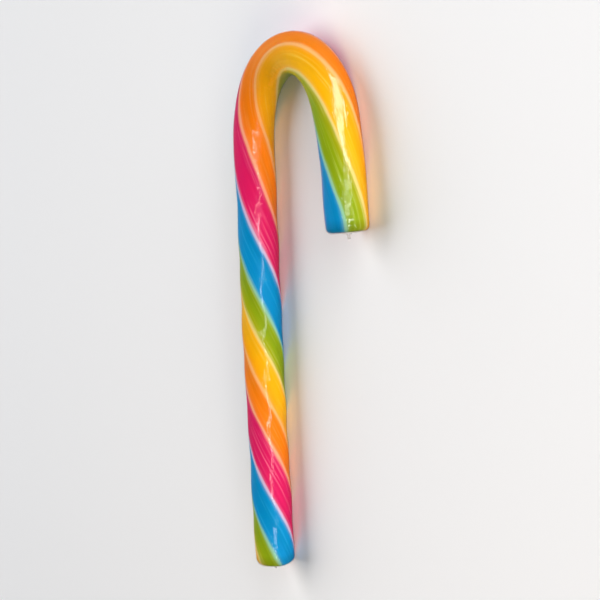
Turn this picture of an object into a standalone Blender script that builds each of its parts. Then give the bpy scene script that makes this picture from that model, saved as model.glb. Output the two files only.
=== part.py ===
"""A hooked stick of striped boiled sugar in tight clear film, lying on its side on the plane Z = 0.

Metres, +Z up. The stem runs along Y, the crook turns over towards +X, and the short leg comes back
to a square cut end. The solid is the outside of the tight film: a rod whose five stripes wind round
it, each slightly hollow between raised edges, with a small pinch of film at both ends.
"""

import math

import bmesh
import bpy
import numpy as np
from mathutils import Vector

# Driving dimensions, in metres and degrees.
ROD_DIAMETER = 0.0082
CANE_HEIGHT = 0.107  # from the cut end of the stem to the top of the crook
BEND_RADIUS = 0.0160  # of the rod's centreline
BEND_TURN = 163.0  # turned at that radius, from the stem's direction
LEG_TURN = 12.0  # still turned after it, dying away along the leg
LEG_LENGTH = 0.0215  # from the end of the full bend to the cut end
STEM_BOW = 0.0005  # how far the middle of the stem stands off a straight line

# The stripes in their order round the rod: name, the angle each takes, and its colour.
STRIPES = (
    ("orange", 62.0, (0.89, 0.27, 0.02)),
    ("yellow", 68.0, (0.90, 0.55, 0.01)),
    ("green", 63.0, (0.33, 0.54, 0.03)),
    ("blue", 83.0, (0.01, 0.25, 0.66)),
    ("raspberry", 84.0, (0.72, 0.02, 0.10)),
)
FIRST_STRIPE_ANGLE = -155.0  # where orange starts at the leg's end, from the outside of the bend
LEG_TWIST = 4450.0  # degrees a metre, in the leg and the crook
STEM_TWIST = 6900.0  # degrees a metre, where the stem is wound tighter
TWIST_START = 0.006  # the twist sets in over this length at the leg's end
TWIST_CHANGE = 0.025  # and grows tighter over this length at the top of the stem

RIB_HEIGHT = 0.00014  # of a stripe's raised edges over its middle
UNEVENNESS = ((0.010, 0.041, 0.6), (0.006, 0.017, 2.1))  # of the girth: share, wavelength, phase
TIP_TAPER = 0.035  # share of the girth lost at each end
TIP_TAPER_LENGTH = 0.007
END_ROUNDING = 0.0010  # of the edge of a cut end
FLAT_DEPTH = 0.00013  # pressed off the underside, which it lies on

# The film gathered at the middle of a cut end: a round root, a flat waist, and a wider flat end.
PINCH_ROOT = 0.0024
PINCH_WAIST = 0.0014
PINCH_WAIST_AT = 0.0004
PINCH_WIDTH = 0.0019
PINCH_THICKNESS = 0.0006
PINCH_LENGTH = 0.0011

# Fineness of the mesh.
COLUMNS_PER_STRIPE = 7
RING_SPACING = 0.0016
GUIDE_SPACING = 0.0008
ROUNDING_STEPS = 3
TWIST_SAMPLES = 400

ROD_RADIUS = ROD_DIAMETER / 2
STEM_LENGTH = CANE_HEIGHT - BEND_RADIUS - ROD_RADIUS
BEND_LENGTH = BEND_RADIUS * math.radians(BEND_TURN)
ROD_LENGTH = STEM_LENGTH + BEND_LENGTH + LEG_LENGTH
LEG_EASE = BEND_RADIUS * math.radians(LEG_TURN)  # so that the leg starts at the bend's curvature
REST_LEVEL = -(ROD_RADIUS - FLAT_DEPTH)
GUIDE_OVERRUN = 3 * PINCH_LENGTH  # the guide runs on straight past both cut ends


def clear_scene():
    for thing in list(bpy.data.objects):
        bpy.data.objects.remove(thing, do_unlink=True)


def new_collection(name):
    collection = bpy.data.collections.new(name)
    bpy.context.scene.collection.children.link(collection)
    return collection


def turn_at(along):
    """How far the centreline has turned from the stem's direction, in radians, at each length."""
    bent = np.clip(along - STEM_LENGTH, 0, BEND_LENGTH) / BEND_RADIUS
    past = np.clip(along - STEM_LENGTH - BEND_LENGTH, 0, LEG_LENGTH)
    return bent + math.radians(LEG_TURN) * (1 - np.exp(-past / LEG_EASE))


def centreline():
    """Points of the centreline in the plane of the hook, from before the stem's end to past the leg's."""
    count = math.ceil((ROD_LENGTH + 2 * GUIDE_OVERRUN) / GUIDE_SPACING)
    along = np.linspace(-GUIDE_OVERRUN, ROD_LENGTH + GUIDE_OVERRUN, count)
    middles = (along[1:] + along[:-1]) / 2
    steps = np.diff(along)
    across = np.concatenate([[0], np.cumsum(np.sin(turn_at(middles)) * steps)])
    ahead = np.concatenate([[0], np.cumsum(np.cos(turn_at(middles)) * steps)]) - GUIDE_OVERRUN
    bow = STEM_BOW * np.sin(np.pi * np.clip(along / STEM_LENGTH, 0, 1)) ** 2
    return np.stack([across - bow, ahead], axis=1)


def guide_curve():
    """The hook's centreline as a curve that the straight rod is bent along."""
    data = bpy.data.curves.new("centreline", "CURVE")
    data.dimensions = "3D"
    data.twist_mode = "Z_UP"
    points = centreline()
    spline = data.splines.new("POLY")
    spline.points.add(len(points) - 1)
    for point, (across, ahead) in zip(spline.points, points):
        point.co = (across, ahead, 0, 1)
    guide = bpy.data.objects.new("centreline", data)
    guide.hide_render = True
    guide.display_type = "WIRE"
    return guide


def twist_table():
    """Lengths from the leg's cut end, and how far the stripes have wound at each, in degrees."""
    from_cut = np.linspace(0, ROD_LENGTH, TWIST_SAMPLES)
    setting_in = np.clip(from_cut / TWIST_START, 0, 1)
    change = np.clip((from_cut - LEG_LENGTH - BEND_LENGTH) / TWIST_CHANGE, 0, 1)
    tighter = change * change * (3 - 2 * change)
    rate = setting_in * (LEG_TWIST + tighter * (STEM_TWIST - LEG_TWIST))
    wound = np.concatenate([[0], np.cumsum((rate[1:] + rate[:-1]) / 2 * np.diff(from_cut))])
    return from_cut, wound


def stripe_at(column_angle):
    """The stripe at an angle of the plain cylinder, where each has an equal share, and the place across it."""
    place = (column_angle % 360) / 360 * len(STRIPES)
    index = min(int(place), len(STRIPES) - 1)
    return index, place - index


def girth(along):
    """The rod's radius as a share of the plain one, at a length from the stem's end."""
    share = 1 + sum(s * math.sin(2 * math.pi * along / wave + phase) for s, wave, phase in UNEVENNESS)
    from_end = max(min(along, ROD_LENGTH - along), 0)
    return share - TIP_TAPER * max(0, 1 - from_end / TIP_TAPER_LENGTH) ** 2


def twisted_rib_point(point, lengths, wound):
    """Where a point of the plain straight cylinder goes: (along, outwards from the bend, up)."""
    along, outward, up = point
    reach = math.hypot(outward, up)
    index, across = stripe_at(math.degrees(math.atan2(up, outward)))
    start = FIRST_STRIPE_ANGLE + sum(angle for _, angle, _ in STRIPES[:index])
    stripe_angle = start + across * STRIPES[index][1]
    angle = math.radians(stripe_angle + np.interp(ROD_LENGTH - along, lengths, wound))
    rib = RIB_HEIGHT / 2 * math.cos(2 * math.pi * across) * reach / ROD_RADIUS
    reach = reach * girth(along) + rib
    return Vector((along, reach * math.cos(angle), max(reach * math.sin(angle), REST_LEVEL)))


def place_end(face, along, outward_scale, up_scale):
    """Moves an end's face to a length, and scales it across."""
    for vertex in face.verts:
        vertex.co = Vector((along, vertex.co.y * outward_scale, vertex.co.z * up_scale))


def pinch_film(mesh, side):
    """Gathers the film at the cut end on one side, -1 for the stem's and 1 for the leg's."""
    end = max(mesh.faces, key=lambda face: side * face.calc_center_median().x)
    reach = max(math.hypot(v.co.y, v.co.z) for v in end.verts)
    cut = ROD_LENGTH if side > 0 else 0
    sizes = (
        (0, PINCH_ROOT, PINCH_ROOT),
        (PINCH_WAIST_AT, PINCH_WAIST, PINCH_THICKNESS),
        (PINCH_LENGTH, PINCH_WIDTH, PINCH_THICKNESS),
    )
    width = thickness = 2 * reach
    for past, new_width, new_thickness in sizes:
        end = bmesh.ops.extrude_discrete_faces(mesh, faces=[end])["faces"][0]
        place_end(end, cut + side * past, new_width / width, new_thickness / thickness)
        width, thickness = new_width, new_thickness


def rod_mesh():
    """The straight rod along X, from the stem's end at 0, before it is bent."""
    bpy.ops.mesh.primitive_cylinder_add(
        vertices=len(STRIPES) * COLUMNS_PER_STRIPE,
        radius=ROD_RADIUS,
        depth=ROD_LENGTH,
        end_fill_type="NGON",
        location=(0, 0, 0),
    )
    rod = bpy.context.active_object
    mesh = bmesh.new()
    mesh.from_mesh(rod.data)
    for vertex in mesh.verts:
        vertex.co = Vector((vertex.co.z + ROD_LENGTH / 2, vertex.co.x, vertex.co.y))
    mesh.normal_update()
    rims = [e for e in mesh.edges if abs(e.verts[0].co.x - e.verts[1].co.x) < RING_SPACING]
    bmesh.ops.bevel(
        mesh, geom=rims, offset=END_ROUNDING, segments=ROUNDING_STEPS, profile=0.5, affect="EDGES"
    )
    lengthwise = [e for e in mesh.edges if abs(e.verts[0].co.x - e.verts[1].co.x) > ROD_LENGTH / 2]
    cuts = round(ROD_LENGTH / RING_SPACING) - 1
    bmesh.ops.subdivide_edges(mesh, edges=lengthwise, cuts=cuts, use_grid_fill=True)
    for side in (-1, 1):
        pinch_film(mesh, side)
    for face in mesh.faces:
        middle = face.calc_center_median()
        face.material_index = stripe_at(math.degrees(math.atan2(middle.z, middle.y)))[0]
    lengths, wound = twist_table()
    for vertex in mesh.verts:
        vertex.co = twisted_rib_point(vertex.co, lengths, wound)
        vertex.co.x += GUIDE_OVERRUN
    mesh.to_mesh(rod.data)
    mesh.free()
    return rod


def stripe_material(name, colour):
    """Hard glossy sugar under film."""
    material = bpy.data.materials.new("sugar_" + name)
    material.use_nodes = True
    shader = material.node_tree.nodes["Principled BSDF"]
    shader.inputs["Base Color"].default_value = (*colour, 1)
    shader.inputs["Roughness"].default_value = 0.2
    shader.inputs["Metallic"].default_value = 0
    return material


def stand_on_origin(rod, base):
    """Puts the middle of the cane's footprint at the origin."""
    bpy.context.view_layer.update()
    bent = rod.evaluated_get(bpy.context.evaluated_depsgraph_get())
    corners = np.array([bent.matrix_world @ Vector(corner) for corner in bent.bound_box])
    middle = (corners.min(axis=0) + corners.max(axis=0)) / 2
    base.location.x -= middle[0]
    base.location.y -= middle[1]


def main():
    clear_scene()
    cane = new_collection("candy_cane")
    guides = new_collection("guides")
    base = bpy.data.objects.new("cane_base", None)
    base.location.z = -REST_LEVEL
    guide = guide_curve()
    guides.objects.link(base)
    guides.objects.link(guide)

    rod = rod_mesh()
    rod.name = rod.data.name = "candy_cane"
    for collection in list(rod.users_collection):
        collection.objects.unlink(rod)
    cane.objects.link(rod)
    for name, _, colour in STRIPES:
        rod.data.materials.append(stripe_material(name, colour))
    rod.data.shade_smooth()
    for thing in (rod, guide):
        thing.parent = base
    bend = rod.modifiers.new("bend", "CURVE")
    bend.object = guide
    bend.deform_axis = "POS_X"
    stand_on_origin(rod, base)


main()
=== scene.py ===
import math

import bmesh
import bpy
import numpy as np
from mathutils import Matrix, Vector, noise


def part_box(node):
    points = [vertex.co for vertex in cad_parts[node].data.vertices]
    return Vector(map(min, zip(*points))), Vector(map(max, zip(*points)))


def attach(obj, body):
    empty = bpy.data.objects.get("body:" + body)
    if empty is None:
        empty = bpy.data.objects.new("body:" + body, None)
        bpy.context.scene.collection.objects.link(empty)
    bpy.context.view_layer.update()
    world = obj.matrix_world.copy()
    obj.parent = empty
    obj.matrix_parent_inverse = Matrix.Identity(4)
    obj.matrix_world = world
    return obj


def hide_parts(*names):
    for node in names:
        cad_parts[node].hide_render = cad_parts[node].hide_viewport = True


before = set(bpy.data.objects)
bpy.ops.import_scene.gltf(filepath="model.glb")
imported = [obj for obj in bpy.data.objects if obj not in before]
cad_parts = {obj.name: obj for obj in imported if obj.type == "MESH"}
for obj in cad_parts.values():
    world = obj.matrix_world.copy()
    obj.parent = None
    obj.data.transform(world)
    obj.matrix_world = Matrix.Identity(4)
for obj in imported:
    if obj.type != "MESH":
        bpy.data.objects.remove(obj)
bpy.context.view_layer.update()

mm = 0.001

# The rod and its hook. The stem runs along Y, the crook turns over towards X, all at one height.
cane = {
    "radius": 4.1 * mm,
    "height": 107 * mm,
    "bendRadius": 16 * mm,
    "bendTurn": 163,  # degrees at that radius
    "legTurn": 12,  # degrees still turned along the leg
    "legLength": 21.5 * mm,
    "stemBow": 0.5 * mm,
    "girthWaves": ((0.010, 41 * mm, 0.6), (0.006, 17 * mm, 2.1)),  # share, length, phase
    "tipTaper": 0.035,
    "tipTaperLength": 7 * mm,
    "ribHeight": 0.14 * mm,  # of a stripe's raised edges over its middle
    "pressedFlat": 0.13 * mm,  # off the underside
    "guideStep": 0.2 * mm,
}
stemLength = cane["height"] - cane["bendRadius"] - cane["radius"]
bendLength = cane["bendRadius"] * math.radians(cane["bendTurn"])
rodLength = stemLength + bendLength + cane["legLength"]
restLevel = cane["pressedFlat"] - cane["radius"]
overrun = 4 * mm  # the guide runs on straight past both cut ends

# How the stripes wind: degrees a metre, counted from the leg's cut end.
winding = {
    "legRate": 4450,
    "stemRate": 6900,
    "startLength": 6 * mm,
    "changeLength": 25 * mm,
    "steps": 2000,  # in which the turns are summed up
    "firstAngle": -155,  # of the first stripe's edge at the leg's end, from the outside of the bend
}

# Round the rod, in order: the angle that each stripe takes, its colour, its paler streaks and how many,
# how strongly the colour before it bleeds in, and the colour of the thin line at its first edge.
stripes = (
    {"name": "orange", "angle": 62, "colour": (0.950, 0.252, 0.004), "streak": (0.98, 0.45, 0.12),
     "streaks": 0.70, "bleed": 0.08, "line": (0.93, 0.48, 0.30)},
    {"name": "yellow", "angle": 68, "colour": (0.965, 0.490, 0.003), "streak": (0.98, 0.71, 0.12),
     "streaks": 0.60, "bleed": 0.42, "line": (0.98, 0.53, 0.21)},
    {"name": "green", "angle": 63, "colour": (0.285, 0.415, 0.006), "streak": (0.54, 0.62, 0.11),
     "streaks": 0.80, "bleed": 0.20, "line": (0.84, 0.70, 0.26)},
    {"name": "blue", "angle": 83, "colour": (0.000, 0.300, 0.660), "streak": (0.04, 0.50, 0.86),
     "streaks": 0.55, "bleed": 0.0, "line": (0.33, 0.64, 0.46)},
    {"name": "raspberry", "angle": 84, "colour": (0.760, 0.013, 0.145), "streak": (0.90, 0.20, 0.38),
     "streaks": 0.90, "bleed": 0.0, "line": (0.66, 0.58, 0.80)},
)
stripeEdges = np.cumsum([0] + [stripe["angle"] for stripe in stripes]) / 360


def turnAt(along):
    # how far the centreline has turned from the stem's direction
    bent = np.clip(along - stemLength, 0, bendLength) / cane["bendRadius"]
    past = np.clip(along - stemLength - bendLength, 0, cane["legLength"])
    legTurn = math.radians(cane["legTurn"])
    return bent + legTurn * (1 - np.exp(-past / (cane["bendRadius"] * legTurn)))


def hookGuide():
    # the centreline as a curve, at its true height, for the Curve modifier to bend along
    along = np.linspace(-overrun, rodLength + overrun, round((rodLength + 2 * overrun) / cane["guideStep"]))
    middles, steps = (along[1:] + along[:-1]) / 2, np.diff(along)
    across = np.concatenate([[0], np.cumsum(np.sin(turnAt(middles)) * steps)])
    ahead = np.concatenate([[0], np.cumsum(np.cos(turnAt(middles)) * steps)]) - overrun
    across -= cane["stemBow"] * np.sin(np.pi * np.clip(along / stemLength, 0, 1)) ** 2
    data = bpy.data.curves.new("hookGuide", "CURVE")
    data.dimensions = "3D"
    data.twist_mode = "Z_UP"
    line = data.splines.new("POLY")
    line.points.add(len(along) - 1)
    for point, x, y in zip(line.points, across, ahead):
        point.co = (x, y, -restLevel, 1)
    guide = bpy.data.objects.new("hookGuide", data)
    bpy.context.scene.collection.objects.link(guide)
    return guide


def woundAt(fromLeg):
    # how far the stripes have wound, in radians, at a distance from the leg's cut end
    table = np.linspace(0, rodLength, winding["steps"])
    settingIn = np.clip(table / winding["startLength"], 0, 1)
    change = np.clip((table - cane["legLength"] - bendLength) / winding["changeLength"], 0, 1)
    tighter = change * change * (3 - 2 * change)
    rate = settingIn * (winding["legRate"] + tighter * (winding["stemRate"] - winding["legRate"]))
    wound = np.concatenate([[0], np.cumsum((rate[1:] + rate[:-1]) / 2 * np.diff(table))])
    return np.radians(np.interp(fromLeg, table, wound))


def girthAt(along):
    share = 1 + sum(s * np.sin(2 * np.pi * along / wave + phase) for s, wave, phase in cane["girthWaves"])
    fromEnd = np.clip(np.minimum(along, rodLength - along), 0, None)
    return share - cane["tipTaper"] * np.clip(1 - fromEnd / cane["tipTaperLength"], 0, None) ** 2


def ribAt(place):
    # the relief over a stripe, from its share of a turn: raised at the edges, hollow between them
    index = np.clip(np.searchsorted(stripeEdges, place, side="right") - 1, 0, len(stripes) - 1)
    width = np.diff(stripeEdges)[index]
    across = (place - stripeEdges[index]) / width
    return cane["ribHeight"] / 2 * np.cos(2 * np.pi * across)


def smooth(values, low, high):
    share = np.clip((values - low) / (high - low), 0, 1)
    return share * share * (3 - 2 * share)


grainShift = np.array([17.3, 5.1, 9.7])  # from one noise to the next, so that no two are alike


def grain(points, seed):
    # soft noise, about -1 to 1, at points already divided by the size of the lumps
    return np.array([noise.noise(Vector(point)) for point in points + seed * grainShift])


def crease(values, width):
    # thin ridges where the noise crosses zero
    return np.clip(1 - np.abs(values) / width, 0, 1) ** 2


def plainDrum(name, columns, cuts):
    # a closed drum of unit size whose side is cut into rings
    bpy.ops.object.select_all(action="DESELECT")
    bpy.ops.mesh.primitive_cylinder_add(vertices=columns, radius=1, depth=1, location=(0, 0, 0))
    drum = bpy.context.active_object
    drum.name = drum.data.name = name
    bpy.ops.object.mode_set(mode="EDIT")
    bpy.ops.mesh.select_mode(type="EDGE")
    for cut in cuts:
        bpy.ops.mesh.select_all(action="DESELECT")
        mesh = bmesh.from_edit_mesh(drum.data)
        for edge in mesh.edges:
            edge.select_set(abs(edge.verts[0].co.z - edge.verts[1].co.z) > 1e-5)
        bmesh.update_edit_mesh(drum.data)
        bpy.ops.mesh.subdivide(number_cuts=cut - 1)
    bpy.ops.object.mode_set(mode="OBJECT")
    return drum


def drumPlaces(drum):
    # each vertex's share of the drum's length, and its angle round it
    points = np.empty(len(drum.data.vertices) * 3)
    drum.data.vertices.foreach_get("co", points)
    points = points.reshape(-1, 3)
    return points[:, 2] + 0.5, np.arctan2(points[:, 1], points[:, 0])


def outlineOf(endPoints):
    # From one end's outline, given from the middle outwards as distances in from the cut, half widths and
    # half thicknesses, makes the whole rod's. Each point comes with the length of outline up to it.
    first = np.array(endPoints)
    last = first[::-1] * (-1, 1, 1) + (rodLength, 0, 0)
    points = np.concatenate([first, last])
    steps = np.hypot(*np.diff(points[:, :2], axis=0).T)
    return np.concatenate([[0], np.cumsum(steps)]), points


endSteps = {"face": 8, "rim": 14}  # in the outline of a cut end


def cutEnd(inset, rounding, dome, hub):
    # a cut end from its middle, or its hub, out to the side
    flat = cane["radius"] - rounding
    reaches = np.linspace(hub, flat, endSteps["face"])
    turns = np.linspace(0, np.pi / 2, endSteps["rim"])[1:]
    face = [(inset + dome * (reach / flat) ** 2, reach) for reach in reaches]
    rim = [
        (inset + dome + rounding * (1 - math.cos(turn)), flat + rounding * math.sin(turn)) for turn in turns
    ]
    return [(into, reach, reach) for into, reach in face + rim]


def alongOutline(share, outline, ends):
    # a vertex's place on the outline and which way the surface faces there, along and outwards; the rings
    # stand closer over both ends
    lengths, points = outline
    wanted = np.interp(
        share,
        (0, ends["rings"], 1 - ends["rings"], 1),
        (0, ends["length"], lengths[-1] - ends["length"], lengths[-1]),
    )
    along, wide, thin = (np.interp(wanted, lengths, points[:, axis]) for axis in range(3))
    step = 0.06 * mm
    ahead = [np.interp(wanted + step, lengths, points[:, axis]) for axis in (0, 1)]
    behind = [np.interp(wanted - step, lengths, points[:, axis]) for axis in (0, 1)]
    facing = np.stack([behind[1] - ahead[1], ahead[0] - behind[0]])
    facing /= np.maximum(np.hypot(*facing), 1e-9)
    return wanted, along, wide, thin, facing


def bendAndMap(piece, points, around, length, guide):
    # gives the drum its straight form and its UV map, then bends it into the hook
    data = piece.data
    data.vertices.foreach_set("co", points.astype(np.float32).ravel())
    corners = np.empty(len(data.loops), dtype=np.int32)
    data.loops.foreach_get("vertex_index", corners)
    starts, totals = np.empty((2, len(data.polygons)), dtype=np.int32)
    data.polygons.foreach_get("loop_start", starts)
    data.polygons.foreach_get("loop_total", totals)
    turn = around[corners]
    highest = np.repeat(np.maximum.reduceat(turn, starts), totals)
    turn = np.where(highest - turn > 0.5, turn + 1, turn)  # faces over the seam read on past a whole turn
    layer = data.uv_layers[0] if data.uv_layers else data.uv_layers.new()
    layer.name = "wound"
    sheet = np.stack([turn, length[corners] / (2 * np.pi * cane["radius"])], axis=1)
    layer.data.foreach_set("uv", sheet.astype(np.float32).ravel())
    bend = piece.modifiers.new("bend", "CURVE")
    bend.object = guide
    bend.deform_axis = "POS_X"
    bpy.ops.object.select_all(action="DESELECT")
    bpy.context.view_layer.objects.active = piece
    piece.select_set(True)
    bpy.ops.object.modifier_apply(modifier="bend")
    bpy.ops.object.mode_set(mode="EDIT")
    bpy.ops.mesh.select_all(action="SELECT")
    bpy.ops.mesh.normals_make_consistent(inside=False)
    bpy.ops.object.mode_set(mode="OBJECT")
    bpy.ops.object.shade_smooth()


# The sugar itself, a little under the wrap.
sugar = {
    "columns": 120,
    "cuts": (8, 8, 9),
    "depth": 0.10 * mm,  # under the solid's surface
    "inset": 0.12 * mm,  # of the cut ends
    "rounding": 0.97 * mm,  # of their rims
    "dome": 0.10 * mm,
    "hub": 0.15 * mm,
    "restGap": 0.04 * mm,  # over the film's flat underside
    "lumpSize": 5 * mm,
    "lumpHeight": 0.025 * mm,
    "lineRidge": 0.02 * mm,
    "lineHalfWidth": 0.014,  # of a turn
    "ends": {"rings": 0.07, "length": 5 * mm},  # the share of the rings that each end takes
}


def sugarRod(guide):
    rod = plainDrum("sugarRod", sugar["columns"], sugar["cuts"])
    share, angle = drumPlaces(rod)
    radius = cane["radius"]
    outline = outlineOf(cutEnd(sugar["inset"], sugar["rounding"], sugar["dome"], sugar["hub"]))
    length, along, reach = alongOutline(share, outline, sugar["ends"])[:3]
    place = (angle / (2 * np.pi)) % 1
    turned = math.radians(winding["firstAngle"]) + place * 2 * np.pi + woundAt(rodLength - along)
    straight = np.stack([along, radius * np.cos(turned), radius * np.sin(turned)], axis=1)
    lumps = sugar["lumpHeight"] * grain(straight / sugar["lumpSize"], 1)
    nearest = np.min(np.abs(place[:, None] - stripeEdges[None, :]), axis=1)
    ridge = sugar["lineRidge"] * crease(nearest, 2 * sugar["lineHalfWidth"])
    relief = ribAt(place) + ridge + lumps - sugar["depth"]
    reach = reach / radius * (radius * girthAt(along) + relief)
    up = np.maximum(reach * np.sin(turned), restLevel + sugar["restGap"])
    points = np.stack([along + overrun, reach * np.cos(turned), up], axis=1)
    bendAndMap(rod, points, place, length, guide)
    return rod, outline[0][-1]


# Clear film shrunk tight on the sugar and gathered at both cut ends.
wrap = {
    "columns": 132,
    "cuts": (8, 9, 9),
    "depth": 0.055 * mm,  # under the solid's surface, without its creases
    "inset": 0.06 * mm,
    "rounding": 1.0 * mm,
    "hub": 1.3 * mm,
    "pinch": (  # mm: how far in from the cut, outside it where negative, then half width, half thickness
        (-0.70, 0.25, 0.05), (-0.98, 0.78, 0.17), (-1.10, 0.93, 0.26), (-1.02, 0.95, 0.30),
        (-0.75, 0.84, 0.29), (-0.40, 0.68, 0.30), (-0.15, 0.80, 0.55), (-0.02, 1.15, 1.05),
    ),
    "pinchTurns": (158.8, 25.0),  # degrees, at the stem's end and the leg's
    "tuft": {  # the folds in which the film is gathered outside the cut
        "count": 9,
        "depth": (0.10, 0.38),  # of the tuft's half width and half thickness
        "sway": (1.1, 2, 0.7),  # in radians, how often in a turn, and its phase
        "legShift": 2,  # radians, so that the two ends differ
        "start": 0.5 * mm,  # outside the cut
    },
    "ends": {"rings": 0.10, "length": 6 * mm},
    # Creases. A size is of the noise that they follow, round the rod and along it.
    "taut": {  # drawn lengthwise, in patches all over the rod
        "height": 0.035 * mm,
        "size": (0.75 * mm, 8 * mm),
        "width": 0.22,
        "patchSize": (4 * mm, 11 * mm),
        "patchFade": (-0.2, 0.35),
    },
    "pucker": {  # gathered across the inside of the crook
        "height": 0.085 * mm,
        "size": (3 * mm, 0.8 * mm),
        "width": 0.4,
        "start": (-2 * mm, 5 * mm),  # fading in where the stem ends
        "stop": (-3 * mm, 6 * mm),  # and out where the leg starts
        "inside": (-0.1, 0.8),
    },
    "crinkle": {  # crumpled towards both tips, and in patches elsewhere
        "height": 0.055 * mm,
        "size": (1.8 * mm, 3.2 * mm),
        "width": 0.25,
        "fineSize": (1.0 * mm, 1.5 * mm),
        "fineWidth": 0.3,
        "fineHeight": 0.6,  # of the coarse ones
        "swerve": 0.6,  # how far they wander
        "swerveSize": (1.6 * mm, 1.6 * mm),
        "tipReach": (2 * mm, 8 * mm),
        "patchSize": (6 * mm, 9 * mm),
        "patchFade": (0.05, 0.4),
        "patchHeight": 0.55,
    },
    "pleat": {  # on the cut ends, towards the tuft
        "height": 0.06 * mm,
        "count": 11,
        "sway": (1.3, 3),  # in radians, and how often in a turn
        "start": 0.3 * mm,
    },
}


def wrapRelief(along, angle, facing):
    # how far the film's creases stand off, by where they are
    radius = cane["radius"]
    ring = np.stack([radius * np.cos(angle), radius * np.sin(angle)], axis=1)
    fromEnd = np.minimum(along, rodLength - along)
    taut, pucker, crinkle, pleat = (wrap[kind] for kind in ("taut", "pucker", "crinkle", "pleat"))

    def spots(size, seed, swerve=0.0):
        return grain(np.column_stack([ring / size[0], along / size[1]]) + swerve, seed)

    drawn = crease(spots(taut["size"], 2), taut["width"])
    drawn *= smooth(spots(taut["patchSize"], 3), *taut["patchFade"])
    bent = smooth(along - stemLength, *pucker["start"])
    bent *= 1 - smooth(along - stemLength - bendLength, *pucker["stop"])
    gathered = crease(spots(pucker["size"], 4), pucker["width"])
    gathered *= bent * smooth(-np.cos(angle), *pucker["inside"])
    tip = 1 - smooth(fromEnd, *crinkle["tipReach"])
    patch = smooth(spots(crinkle["patchSize"], 5), *crinkle["patchFade"])
    swerve = crinkle["swerve"] * spots(crinkle["swerveSize"], 6)[:, None]
    coarse = crease(spots(crinkle["size"], 7, swerve), crinkle["width"])
    fine = crinkle["fineHeight"] * crease(spots(crinkle["fineSize"], 8, swerve), crinkle["fineWidth"])
    crumpled = np.maximum(coarse, fine) * np.maximum(tip, crinkle["patchHeight"] * patch)
    onEnd = np.clip(np.abs(facing[0]), 0, 1)
    sway, often = pleat["sway"]
    fold = np.abs(np.sin(pleat["count"] / 2 * angle + sway * np.sin(often * angle)))
    fold = (1 - fold) ** 2 * onEnd * smooth(fromEnd, -pleat["start"], 0)
    return (
        taut["height"] * drawn + pucker["height"] * gathered
        + crinkle["height"] * crumpled * (1 - onEnd) + pleat["height"] * fold
    )


def clearWrap(guide):
    film = plainDrum("clearWrap", wrap["columns"], wrap["cuts"])
    share, angle = drumPlaces(film)
    radius = cane["radius"]
    pinch = [(into * mm, wide * mm, thin * mm) for into, wide, thin in wrap["pinch"]]
    end = cutEnd(wrap["inset"], wrap["rounding"], 0, wrap["hub"])
    outline = outlineOf(pinch + end)
    length, along, wide, thin, facing = alongOutline(share, outline, wrap["ends"])
    atStem = along < rodLength / 2
    turns = np.radians(np.where(atStem, *wrap["pinchTurns"]))
    place = ((angle - math.radians(winding["firstAngle"]) - woundAt(rodLength - along)) / (2 * np.pi)) % 1
    height = wrapRelief(along, angle, facing)
    onRod = np.clip(wide / radius, 0, 1)
    spread = onRod * (radius * girthAt(along) + ribAt(place) - wrap["depth"]) / radius
    spread = np.where(wide > 0, spread * radius / np.maximum(wide, 1e-9), 1)
    tuft = wrap["tuft"]
    past = smooth(-np.minimum(along, rodLength - along), 0, tuft["start"])  # 1 on the tuft
    sway, often, phase = tuft["sway"]
    swayed = tuft["count"] * angle + sway * np.sin(often * angle + phase)
    folds = np.sin(swayed + np.where(atStem, 0, tuft["legShift"]))
    wide, thin = (
        half * (1 - past * depth * (1 - folds)) for half, depth in zip((wide, thin), tuft["depth"])
    )
    oval = np.stack([wide * np.cos(angle - turns), thin * np.sin(angle - turns)])
    outward = oval[0] * np.cos(turns) - oval[1] * np.sin(turns)
    up = oval[0] * np.sin(turns) + oval[1] * np.cos(turns)
    reach = np.maximum(np.hypot(outward, up), 1e-9)
    growth = spread + facing[1] * height / reach
    points = np.stack(
        [along + facing[0] * height + overrun, outward * growth, np.maximum(up * growth, restLevel)], axis=1
    )
    bendAndMap(film, points, (angle / (2 * np.pi)) % 1, length, guide)
    return film, outline[0][-1]


def settle(pieces, lead):
    # puts the middle of the leading piece's footprint at the middle of the solid's
    low, high = (Vector(corner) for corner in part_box("candy_cane"))
    corners = [Vector(corner) for corner in lead.bound_box]  # the first and the seventh are opposite
    middle = (low + high) / 2 - (corners[0] + corners[6]) / 2
    for piece in pieces:
        piece.data.transform(Matrix.Translation((middle.x, middle.y, 0)))
        piece.data.update()


class Wire:
    # a socket of a material; sums with it add the Math nodes that they need
    def __init__(self, paint, socket):
        self.paint, self.socket = paint, socket

    def __add__(self, other):
        return self.paint.maths("ADD", self, other)

    def __radd__(self, other):
        return self.paint.maths("ADD", other, self)

    def __sub__(self, other):
        return self.paint.maths("SUBTRACT", self, other)

    def __rsub__(self, other):
        return self.paint.maths("SUBTRACT", other, self)

    def __mul__(self, other):
        return self.paint.maths("MULTIPLY", self, other)

    def __rmul__(self, other):
        return self.paint.maths("MULTIPLY", other, self)

    def __truediv__(self, other):
        return self.paint.maths("DIVIDE", self, other)

    def __rtruediv__(self, other):
        return self.paint.maths("DIVIDE", other, self)


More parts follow.
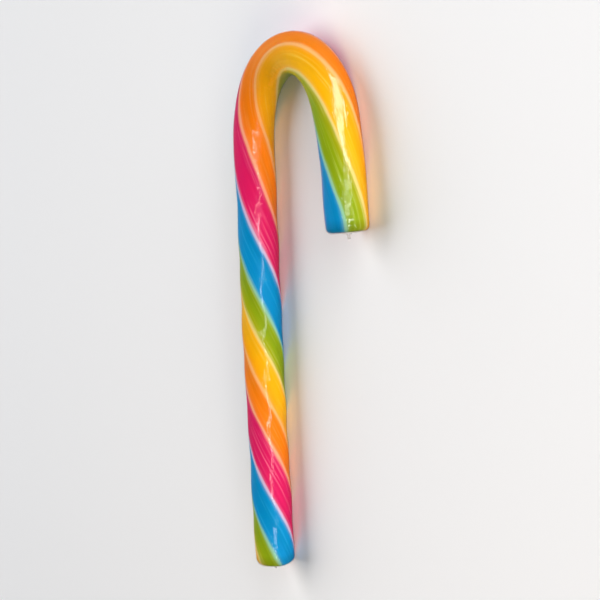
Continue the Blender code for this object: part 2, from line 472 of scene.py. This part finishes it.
class Paint:
    # one material and its nodes, or the room's light if its tree is given
    def __init__(self, name, tree=None):
        self.material = None
        if tree is None:
            self.material = bpy.data.materials.new(name)
            self.material.use_nodes = True
            tree = self.material.node_tree
        self.tree = tree
        self.tree.nodes.clear()

    def node(self, kind, settings=None, sockets=None, output=0):
        made = self.tree.nodes.new(kind)
        for name, value in (settings or {}).items():
            setattr(made, name, value)
        for name, value in (sockets or {}).items():
            if isinstance(value, Wire):
                self.tree.links.new(value.socket, made.inputs[name])
            else:
                made.inputs[name].default_value = value
        return None if output is None else Wire(self, made.outputs[output])

    def maths(self, operation, *values):
        return self.node("ShaderNodeMath", {"operation": operation}, dict(enumerate(values)))

    def blend(self, share, first, second):
        first, second = (c if isinstance(c, Wire) else (*c, 1) for c in (first, second))
        settings = {"data_type": "RGBA", "clamp_factor": True}
        return self.node("ShaderNodeMix", settings, {0: share, 6: first, 7: second}, output=2)

    def fade(self, value, low, high, start=0.0, end=1.0):
        sockets = {0: value, 1: low, 2: high, 3: start, 4: end}
        return self.node("ShaderNodeMapRange", {"interpolation_type": "SMOOTHSTEP"}, sockets)

    def specks(self, place, scale, detail=2.0, roughness=0.5):
        sockets = {"Vector": place, "Scale": scale, "Detail": detail, "Roughness": roughness}
        return self.node("ShaderNodeTexNoise", {"noise_dimensions": "3D"}, sockets)

    def creases(self, place, scale, width, detail=1.5, distortion=0.7):
        # 1 along thin wandering lines, where the noise crosses its middle
        sockets = {"Vector": place, "Scale": scale, "Detail": detail, "Distortion": distortion}
        wave = self.node("ShaderNodeTexNoise", {"noise_dimensions": "3D"}, sockets)
        return 1 - self.fade(self.maths("ABSOLUTE", wave - 0.5), 0.0, width)

    def bump(self, height, strength, depth):
        sockets = {"Strength": strength, "Distance": depth, "Height": height}
        return self.node("ShaderNodeBump", sockets=sockets)

    def woundPlaces(self):
        # the UV map's two ways: round the rod and along it, both in turns
        wound = self.node("ShaderNodeUVMap", {"uv_map": "wound"})
        return [self.node("ShaderNodeSeparateXYZ", sockets={0: wound}, output=way) for way in (0, 1)]

    def stretched(self, turn, along, around, lengthwise):
        sockets = {0: turn * around, 1: along * lengthwise, 2: 0.0}
        return self.node("ShaderNodeCombineXYZ", sockets=sockets)

    def finish(self, shader):
        kind = "ShaderNodeOutputMaterial" if self.material else "ShaderNodeOutputWorld"
        self.node(kind, sockets={"Surface": shader}, output=None)
        return self.material


sugarFinish = {
    "wobble": 0.012,  # of a turn, how far the stripes' edges wander
    "wobbleScale": 170,
    "edgeSoftness": 0.004,
    "bleedReach": 0.55,  # of a stripe's width
    # streaks: scale, detail and roughness of their noise, and between which values they fade in
    "streakSize": (46, 1.3),  # round the rod and along it
    "fineStreaks": (1.0, 3.0, 0.6),
    "fineFade": (0.50, 0.72),
    "broadStreaks": (0.28, 1.0),
    "broadFade": (0.35, 0.70),
    "leastStreaks": 0.35,  # of the fine ones, where no broad one lies
    "deepStreaks": (0.35, 1.0),
    "deepFade": (0.25, 0.60),
    "deepShade": 0.92,
    "lineStrength": 0.86,
    "lineReach": (0.35, 1.45),  # where the line fades, in its half widths
    "haloStrength": 0.34,
    "haloReach": (0.8, 2.7),
    "haloBase": 0.5,  # the streaks make it stronger
    "lineThinnest": 0.45,
    "lineRaggedness": 1.1,
    "lineRaggedScale": 210,
    "core": (0.94, 0.86, 0.66),  # the paler sugar that the stripes were laid on
    "coreReach": (1.7, 2.2),  # mm from the middle of a cut end
    "coreStrength": 0.9,
    "coreRagged": (0.75, 0.5, 500),  # least, range and scale
    "rimDarkening": 0.74,  # the colours are darker round the cut
    "rimReach": (4.2, 6.2),  # mm, as coreReach
    "pulledLines": 0.7,  # of the fine relief, the rest is grain
    "grainScale": 2600,
    "bumpStrength": 0.12,
    "bumpDepth": 0.1 * mm,
    "roughness": 0.32,
    "streakRoughness": 0.1,
    "ior": 1.5,
    "gloss": 0.16,
    "translucency": 0.35,
    "glowReach": 1.2 * mm,
    "glowColours": (1.0, 0.5, 0.25),
}


def fromEnds(paint, along, wholeLength):
    # the distance in mm from the nearer end's middle, along the outline
    perTurn = 2 * math.pi * cane["radius"]
    return paint.maths("MINIMUM", along, wholeLength / perTurn - along) * (perTurn / mm)


def stripeColours(paint, turn, streakPlace):
    finish = sugarFinish
    soft = finish["edgeSoftness"]
    streaks = paint.fade(paint.specks(streakPlace, *finish["fineStreaks"]), *finish["fineFade"])
    broad = paint.fade(paint.specks(streakPlace, *finish["broadStreaks"]), *finish["broadFade"])
    deeper = 1 - paint.fade(paint.specks(streakPlace, *finish["deepStreaks"]), *finish["deepFade"])
    lying = streaks * (finish["leastStreaks"] + (1 - finish["leastStreaks"]) * broad)
    colour = None
    for edge, stripe, before in zip(stripeEdges, stripes, stripes[-1:] + stripes[:-1]):
        deep = tuple(value * finish["deepShade"] for value in stripe["colour"])
        own = paint.blend(deeper, stripe["colour"], deep)
        faded = edge + finish["bleedReach"] * stripe["angle"] / 360
        if stripe["bleed"]:
            own = paint.blend(paint.fade(turn, edge, faded, stripe["bleed"], 0.0), own, before["colour"])
        own = paint.blend(lying * stripe["streaks"], own, stripe["streak"])
        if colour is None:
            colour = own
        else:
            colour = paint.blend(paint.fade(turn, edge - soft, edge + soft), colour, own)
    return colour, streaks


def edgeLines(paint, turn, bodyPlace, colour, streaks):
    # the thin pale line at each stripe's edge, and its soft halo
    finish = sugarFinish
    distance = None
    for edge in stripeEdges:
        apart = paint.maths("ABSOLUTE", turn - float(edge))
        distance = apart if distance is None else paint.maths("MINIMUM", distance, apart)
    middles = (stripeEdges[1:] + stripeEdges[:-1]) / 2
    lineColour = stripes[0]["line"]
    for middle, stripe in zip(middles, stripes[1:] + stripes[:1]):
        past = paint.maths("GREATER_THAN", turn, float(middle))
        lineColour = paint.blend(past, lineColour, stripe["line"])
    ragged = finish["lineRaggedness"] * paint.specks(bodyPlace, finish["lineRaggedScale"])
    distance = distance / (sugar["lineHalfWidth"] * (finish["lineThinnest"] + ragged))
    line = (1 - paint.fade(distance, *finish["lineReach"])) * finish["lineStrength"]
    halo = (1 - paint.fade(distance, *finish["haloReach"])) * finish["haloStrength"]
    halo = halo * (finish["haloBase"] + streaks)
    return paint.blend(paint.maths("MAXIMUM", line, halo), colour, lineColour)


def cutEndColours(paint, fromEnd, bodyPlace, colour):
    # darker round the cut, with the pale core in its middle
    shade = paint.fade(fromEnd, *sugarFinish["rimReach"], sugarFinish["rimDarkening"], 1.0)
    colour = paint.node("ShaderNodeVectorMath", {"operation": "SCALE"}, {"Vector": colour, "Scale": shade})
    least, spread, scale = sugarFinish["coreRagged"]
    coreEdge = fromEnd / (least + spread * paint.specks(bodyPlace, scale))
    core = 1 - paint.fade(coreEdge, *sugarFinish["coreReach"])
    return paint.blend(core * sugarFinish["coreStrength"], colour, sugarFinish["core"])


def sugarMaterial(wholeLength):
    paint = Paint("pulledSugar")
    finish = sugarFinish
    bodyPlace = paint.node("ShaderNodeTexCoord", output="Object")
    turn, along = paint.woundPlaces()
    wobble = (paint.specks(bodyPlace, finish["wobbleScale"], 1.0) - 0.5) * finish["wobble"]
    turn = paint.maths("FRACT", turn + wobble)
    streakPlace = paint.stretched(turn, along, *finish["streakSize"])
    colour, streaks = stripeColours(paint, turn, streakPlace)
    colour = edgeLines(paint, turn, bodyPlace, colour, streaks)
    colour = cutEndColours(paint, fromEnds(paint, along, wholeLength), bodyPlace, colour)
    pulled = finish["pulledLines"] * paint.specks(streakPlace, 1.0)
    pulled = pulled + (1 - finish["pulledLines"]) * paint.specks(bodyPlace, finish["grainScale"])
    return paint.finish(paint.node("ShaderNodeBsdfPrincipled", sockets={
        "Base Color": colour,
        "Roughness": finish["roughness"] + finish["streakRoughness"] * streaks,
        "Normal": paint.bump(pulled, finish["bumpStrength"], finish["bumpDepth"]),
        "IOR": finish["ior"],
        "Specular IOR Level": finish["gloss"],
        "Subsurface Weight": finish["translucency"],
        "Subsurface Radius": finish["glowColours"],
        "Subsurface Scale": finish["glowReach"],
    }))


filmFinish = {
    "ior": 1.5,
    "strength": 1.5,
    "most": 0.14,  # of the light that it mirrors at a glancing angle
    "roughness": 0.08,
    "tint": (0.985, 0.99, 0.992, 1),
    # fine relief: its heights in bumpDepth, and the scale of its noise
    "drawnLines": 1.2,
    "drawnSize": (50, 4),  # round the rod and along it
    "drawnLeast": 0.4,  # where they are faintest
    "drawnScale": 200,
    "crumple": 0.95,
    "creases": (200, 0.05),  # scale and width
    "fineCreases": (620, 0.08),
    "fineShare": 0.4,
    "crumpleLeast": 0.15,
    "crumplePatches": 0.45,
    "patchScale": 120,
    "patchFade": (0.52, 0.66),
    "grain": 0.3,
    "grainScale": 1100,
    "bumpStrength": 0.6,
    "bumpDepth": 0.12 * mm,
    "tipReach": (5.5, 13.0),  # mm from the middle of a cut end, where the crumple fades
    # the tuft, where the film lies in many layers
    "tuftReach": (1.2, 2.2),
    "tuftMilk": 0.12,
    "tuftMirror": 0.25,
    "tuftShine": 0.5,
    "tuftRoughness": 0.15,
}


def filmRelief(paint, turn, along, tip, bodyPlace):
    finish = filmFinish
    patches = paint.fade(paint.specks(bodyPlace, finish["patchScale"], 1.0), *finish["patchFade"])
    drawn = paint.specks(paint.stretched(turn, along, *finish["drawnSize"]), 1.0)
    spread = (1 - finish["drawnLeast"]) * paint.specks(bodyPlace, finish["drawnScale"], 1.0)
    crumple = paint.creases(bodyPlace, *finish["creases"])
    crumple = crumple + finish["fineShare"] * paint.creases(bodyPlace, *finish["fineCreases"])
    where = paint.maths("MAXIMUM", tip, finish["crumpleLeast"] + finish["crumplePatches"] * patches)
    height = finish["drawnLines"] * drawn * (finish["drawnLeast"] + spread)
    height = height + finish["crumple"] * crumple * where
    return height + finish["grain"] * paint.specks(bodyPlace, finish["grainScale"])


def filmMaterial(wholeLength):
    paint = Paint("clearFilm")
    finish = filmFinish
    bodyPlace = paint.node("ShaderNodeTexCoord", output="Object")
    turn, along = paint.woundPlaces()
    fromEnd = fromEnds(paint, along, wholeLength)
    tip = 1 - paint.fade(fromEnd, *finish["tipReach"])
    tuft = 1 - paint.fade(fromEnd, *finish["tuftReach"])
    height = filmRelief(paint, turn, along, tip, bodyPlace)
    bump = paint.bump(height, finish["bumpStrength"], finish["bumpDepth"])
    mirror = paint.node("ShaderNodeFresnel", sockets={"IOR": finish["ior"], "Normal": bump})
    clear = paint.node("ShaderNodeBsdfTransparent", sockets={"Color": finish["tint"]})
    shine = paint.node("ShaderNodeBsdfPrincipled", sockets={
        "Base Color": (1, 1, 1, 1),
        "Metallic": 1 - (1 - finish["tuftMirror"]) * tuft,
        "Roughness": finish["roughness"] + finish["tuftRoughness"] * tuft,
        "Normal": bump,
    })
    share = paint.maths("MINIMUM", mirror * finish["strength"], finish["most"])
    share = share * (1 - (1 - finish["tuftShine"]) * tuft) + finish["tuftMilk"] * tuft
    return paint.finish(paint.node("ShaderNodeMixShader", sockets={0: share, 1: clear, 2: shine}))


def plainMaterial(name, colour, roughness):
    paint = Paint(name)
    sockets = {"Base Color": (*colour, 1), "Roughness": roughness}
    return paint.finish(paint.node("ShaderNodeBsdfPrincipled", sockets=sockets))


def glowMaterial(name, colour):
    paint = Paint(name)
    return paint.finish(paint.node("ShaderNodeEmission", sockets={"Color": (*colour, 1)}))


# The camera stands to the cane as the photograph's did: near the top of the crook, about a quarter of a
# metre away, and turned so that the stem shows upright.
view = {
    "planeTurn": 21.6,  # degrees, from seeing the hook edge-on
    "lean": 5.3,  # degrees, of the stem in the hook's plane
    "apexRight": 34.5 * mm,  # where the top of the crook lies, from the camera
    "apexBelow": 5.8 * mm,
    "apexAway": 236 * mm,
    "lens": 76,
    "aim": (-1 * mm, 3.6 * mm, 4 * mm),  # what it looks at, near the cane's middle
}
lean, planeTurn = math.radians(view["lean"]), math.radians(view["planeTurn"])
sideways = Vector((math.cos(lean), -math.sin(lean), 0))  # in the hook's plane, from stem to leg
viewUp = Vector((math.sin(lean), math.cos(lean), 0))
outOfPlane = Vector((0, 0, 1))
viewRight = math.sin(planeTurn) * sideways - math.cos(planeTurn) * outOfPlane
viewBack = math.cos(planeTurn) * sideways + math.sin(planeTurn) * outOfPlane


def photographersCamera(stemX, bendY):
    apex = Vector((stemX + cane["bendRadius"], bendY, -restLevel)) + cane["bendRadius"] * viewUp
    place = apex - view["apexRight"] * viewRight + view["apexBelow"] * viewUp + view["apexAway"] * viewBack
    data = bpy.data.cameras.new("camera")
    data.lens = view["lens"]
    camera = bpy.data.objects.new("camera", data)
    bpy.context.scene.collection.objects.link(camera)
    back = (place - Vector(view["aim"])).normalized()
    right = viewUp.cross(back).normalized()
    turned = Matrix((right, back.cross(right), back)).transposed().to_4x4()
    camera.matrix_world = Matrix.Translation(place) @ turned
    bpy.context.scene.camera = camera


# Soft boxes, each by the way to it in the camera's terms: right, up, back.
lamps = (
    {"name": "tallSoftbox", "way": (0.084, 0.669, 0.738), "away": 0.62, "size": (0.34, 0.60), "power": 3.9,
     "colour": (1.0, 1.0, 1.0), "mirrored": True},
    {"name": "ceiling", "way": (-0.80, 0.15, -0.58), "away": 2.4, "size": (2.8, 2.8), "power": 96,
     "colour": (1.0, 1.0, 1.0), "mirrored": False},
    {"name": "stripLight", "way": (0.06, 0.06, 0.99), "away": 0.62, "size": (0.05, 0.5), "power": 0.55,
     "colour": (1.0, 1.0, 1.0), "mirrored": True},
    {"name": "lowFill", "way": (0.0, -0.52, 0.85), "away": 0.8, "size": (0.46, 0.5), "power": 4.0,
     "colour": (1.0, 0.78, 0.55), "mirrored": False},
)


# What the gloss sees past the lamps.
room = {"around": (0.03, 0.031, 0.032), "beyond": (0.11, 0.112, 0.115), "fade": (0.5, 0.92)}


def roomLight():
    # lighter beyond the cane, so that its edges don't mirror the dark
    world = bpy.data.worlds.new("room")
    world.use_nodes = True
    paint = Paint("room", world.node_tree)
    way = paint.node("ShaderNodeTexCoord", output="Generated")
    sockets = {0: way, 1: -viewBack}
    ahead = paint.node("ShaderNodeVectorMath", {"operation": "DOT_PRODUCT"}, sockets, output="Value")
    colour = paint.blend(paint.fade(ahead, *room["fade"]), room["around"], room["beyond"])
    paint.finish(paint.node("ShaderNodeBackground", sockets={"Color": colour}))
    return world


surroundings = {
    "floorSize": 6,
    "floorColour": (0.847, 0.868, 0.901),  # a little cool, under the warm fill light
    "floorRoughness": 0.6,
    "backdropRadius": 0.75,
    "backdropColour": (0.80, 0.81, 0.82),
}


def studio():
    bpy.ops.object.select_all(action="DESELECT")
    bpy.ops.mesh.primitive_plane_add(size=surroundings["floorSize"], location=(0, 0, 0))
    floor = bpy.context.active_object
    floor.name = "studioFloor"
    floor.visible_glossy = False
    pale = plainMaterial("paleFloor", surroundings["floorColour"], surroundings["floorRoughness"])
    floor.data.materials.append(pale)
    bpy.ops.object.select_all(action="DESELECT")
    bpy.ops.mesh.primitive_uv_sphere_add(
        segments=48, ring_count=24, radius=surroundings["backdropRadius"], location=(0, 0, 0)
    )
    backdrop = bpy.context.active_object
    backdrop.name = "studioBackdrop"
    backdrop.data.materials.append(glowMaterial("paleBackdrop", surroundings["backdropColour"]))
    for rays in ("diffuse", "glossy", "transmission", "volume_scatter", "shadow"):
        setattr(backdrop, "visible_" + rays, False)
    bpy.context.scene.world = roomLight()
    bpy.context.scene.view_settings.view_transform = "Standard"


def lampLight(lamp):
    data = bpy.data.lights.new(lamp["name"], "AREA")
    data.shape = "RECTANGLE"
    data.size, data.size_y = lamp["size"]
    data.energy = lamp["power"]
    data.color = lamp["colour"]
    light = bpy.data.objects.new(lamp["name"], data)
    bpy.context.scene.collection.objects.link(light)
    right, up, back = lamp["way"]
    way = (right * viewRight + up * viewUp + back * viewBack).normalized()
    across = viewUp.cross(way).normalized()
    turned = Matrix((across, way.cross(across), way)).transposed().to_4x4()
    light.matrix_world = Matrix.Translation(way * lamp["away"]) @ turned
    light.visible_camera = False
    light.visible_glossy = lamp["mirrored"]


guide = hookGuide()
rod, rodOutline = sugarRod(guide)
rod.data.materials.append(sugarMaterial(rodOutline))
print("sugar rod:", len(rod.data.polygons), "faces; stripes:", *(stripe["name"] for stripe in stripes))
film, filmOutline = clearWrap(guide)
film.data.materials.append(filmMaterial(filmOutline))
print("clear wrap:", len(film.data.polygons), "faces")
settle((rod, film), film)
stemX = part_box("candy_cane")[0][0] + cane["radius"] + cane["stemBow"]
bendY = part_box("candy_cane")[1][1] - cane["radius"] - cane["bendRadius"]
bpy.data.objects.remove(guide, do_unlink=True)

for piece, slotName in ((rod, "candy"), (film, "film")):
    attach(piece, "root")
    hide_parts("candy_cane")

studio()
for lamp in lamps:
    lampLight(lamp)
photographersCamera(stemX, bendY)
print("studio:", len(lamps), "lamps, camera of", view["lens"], "mm")
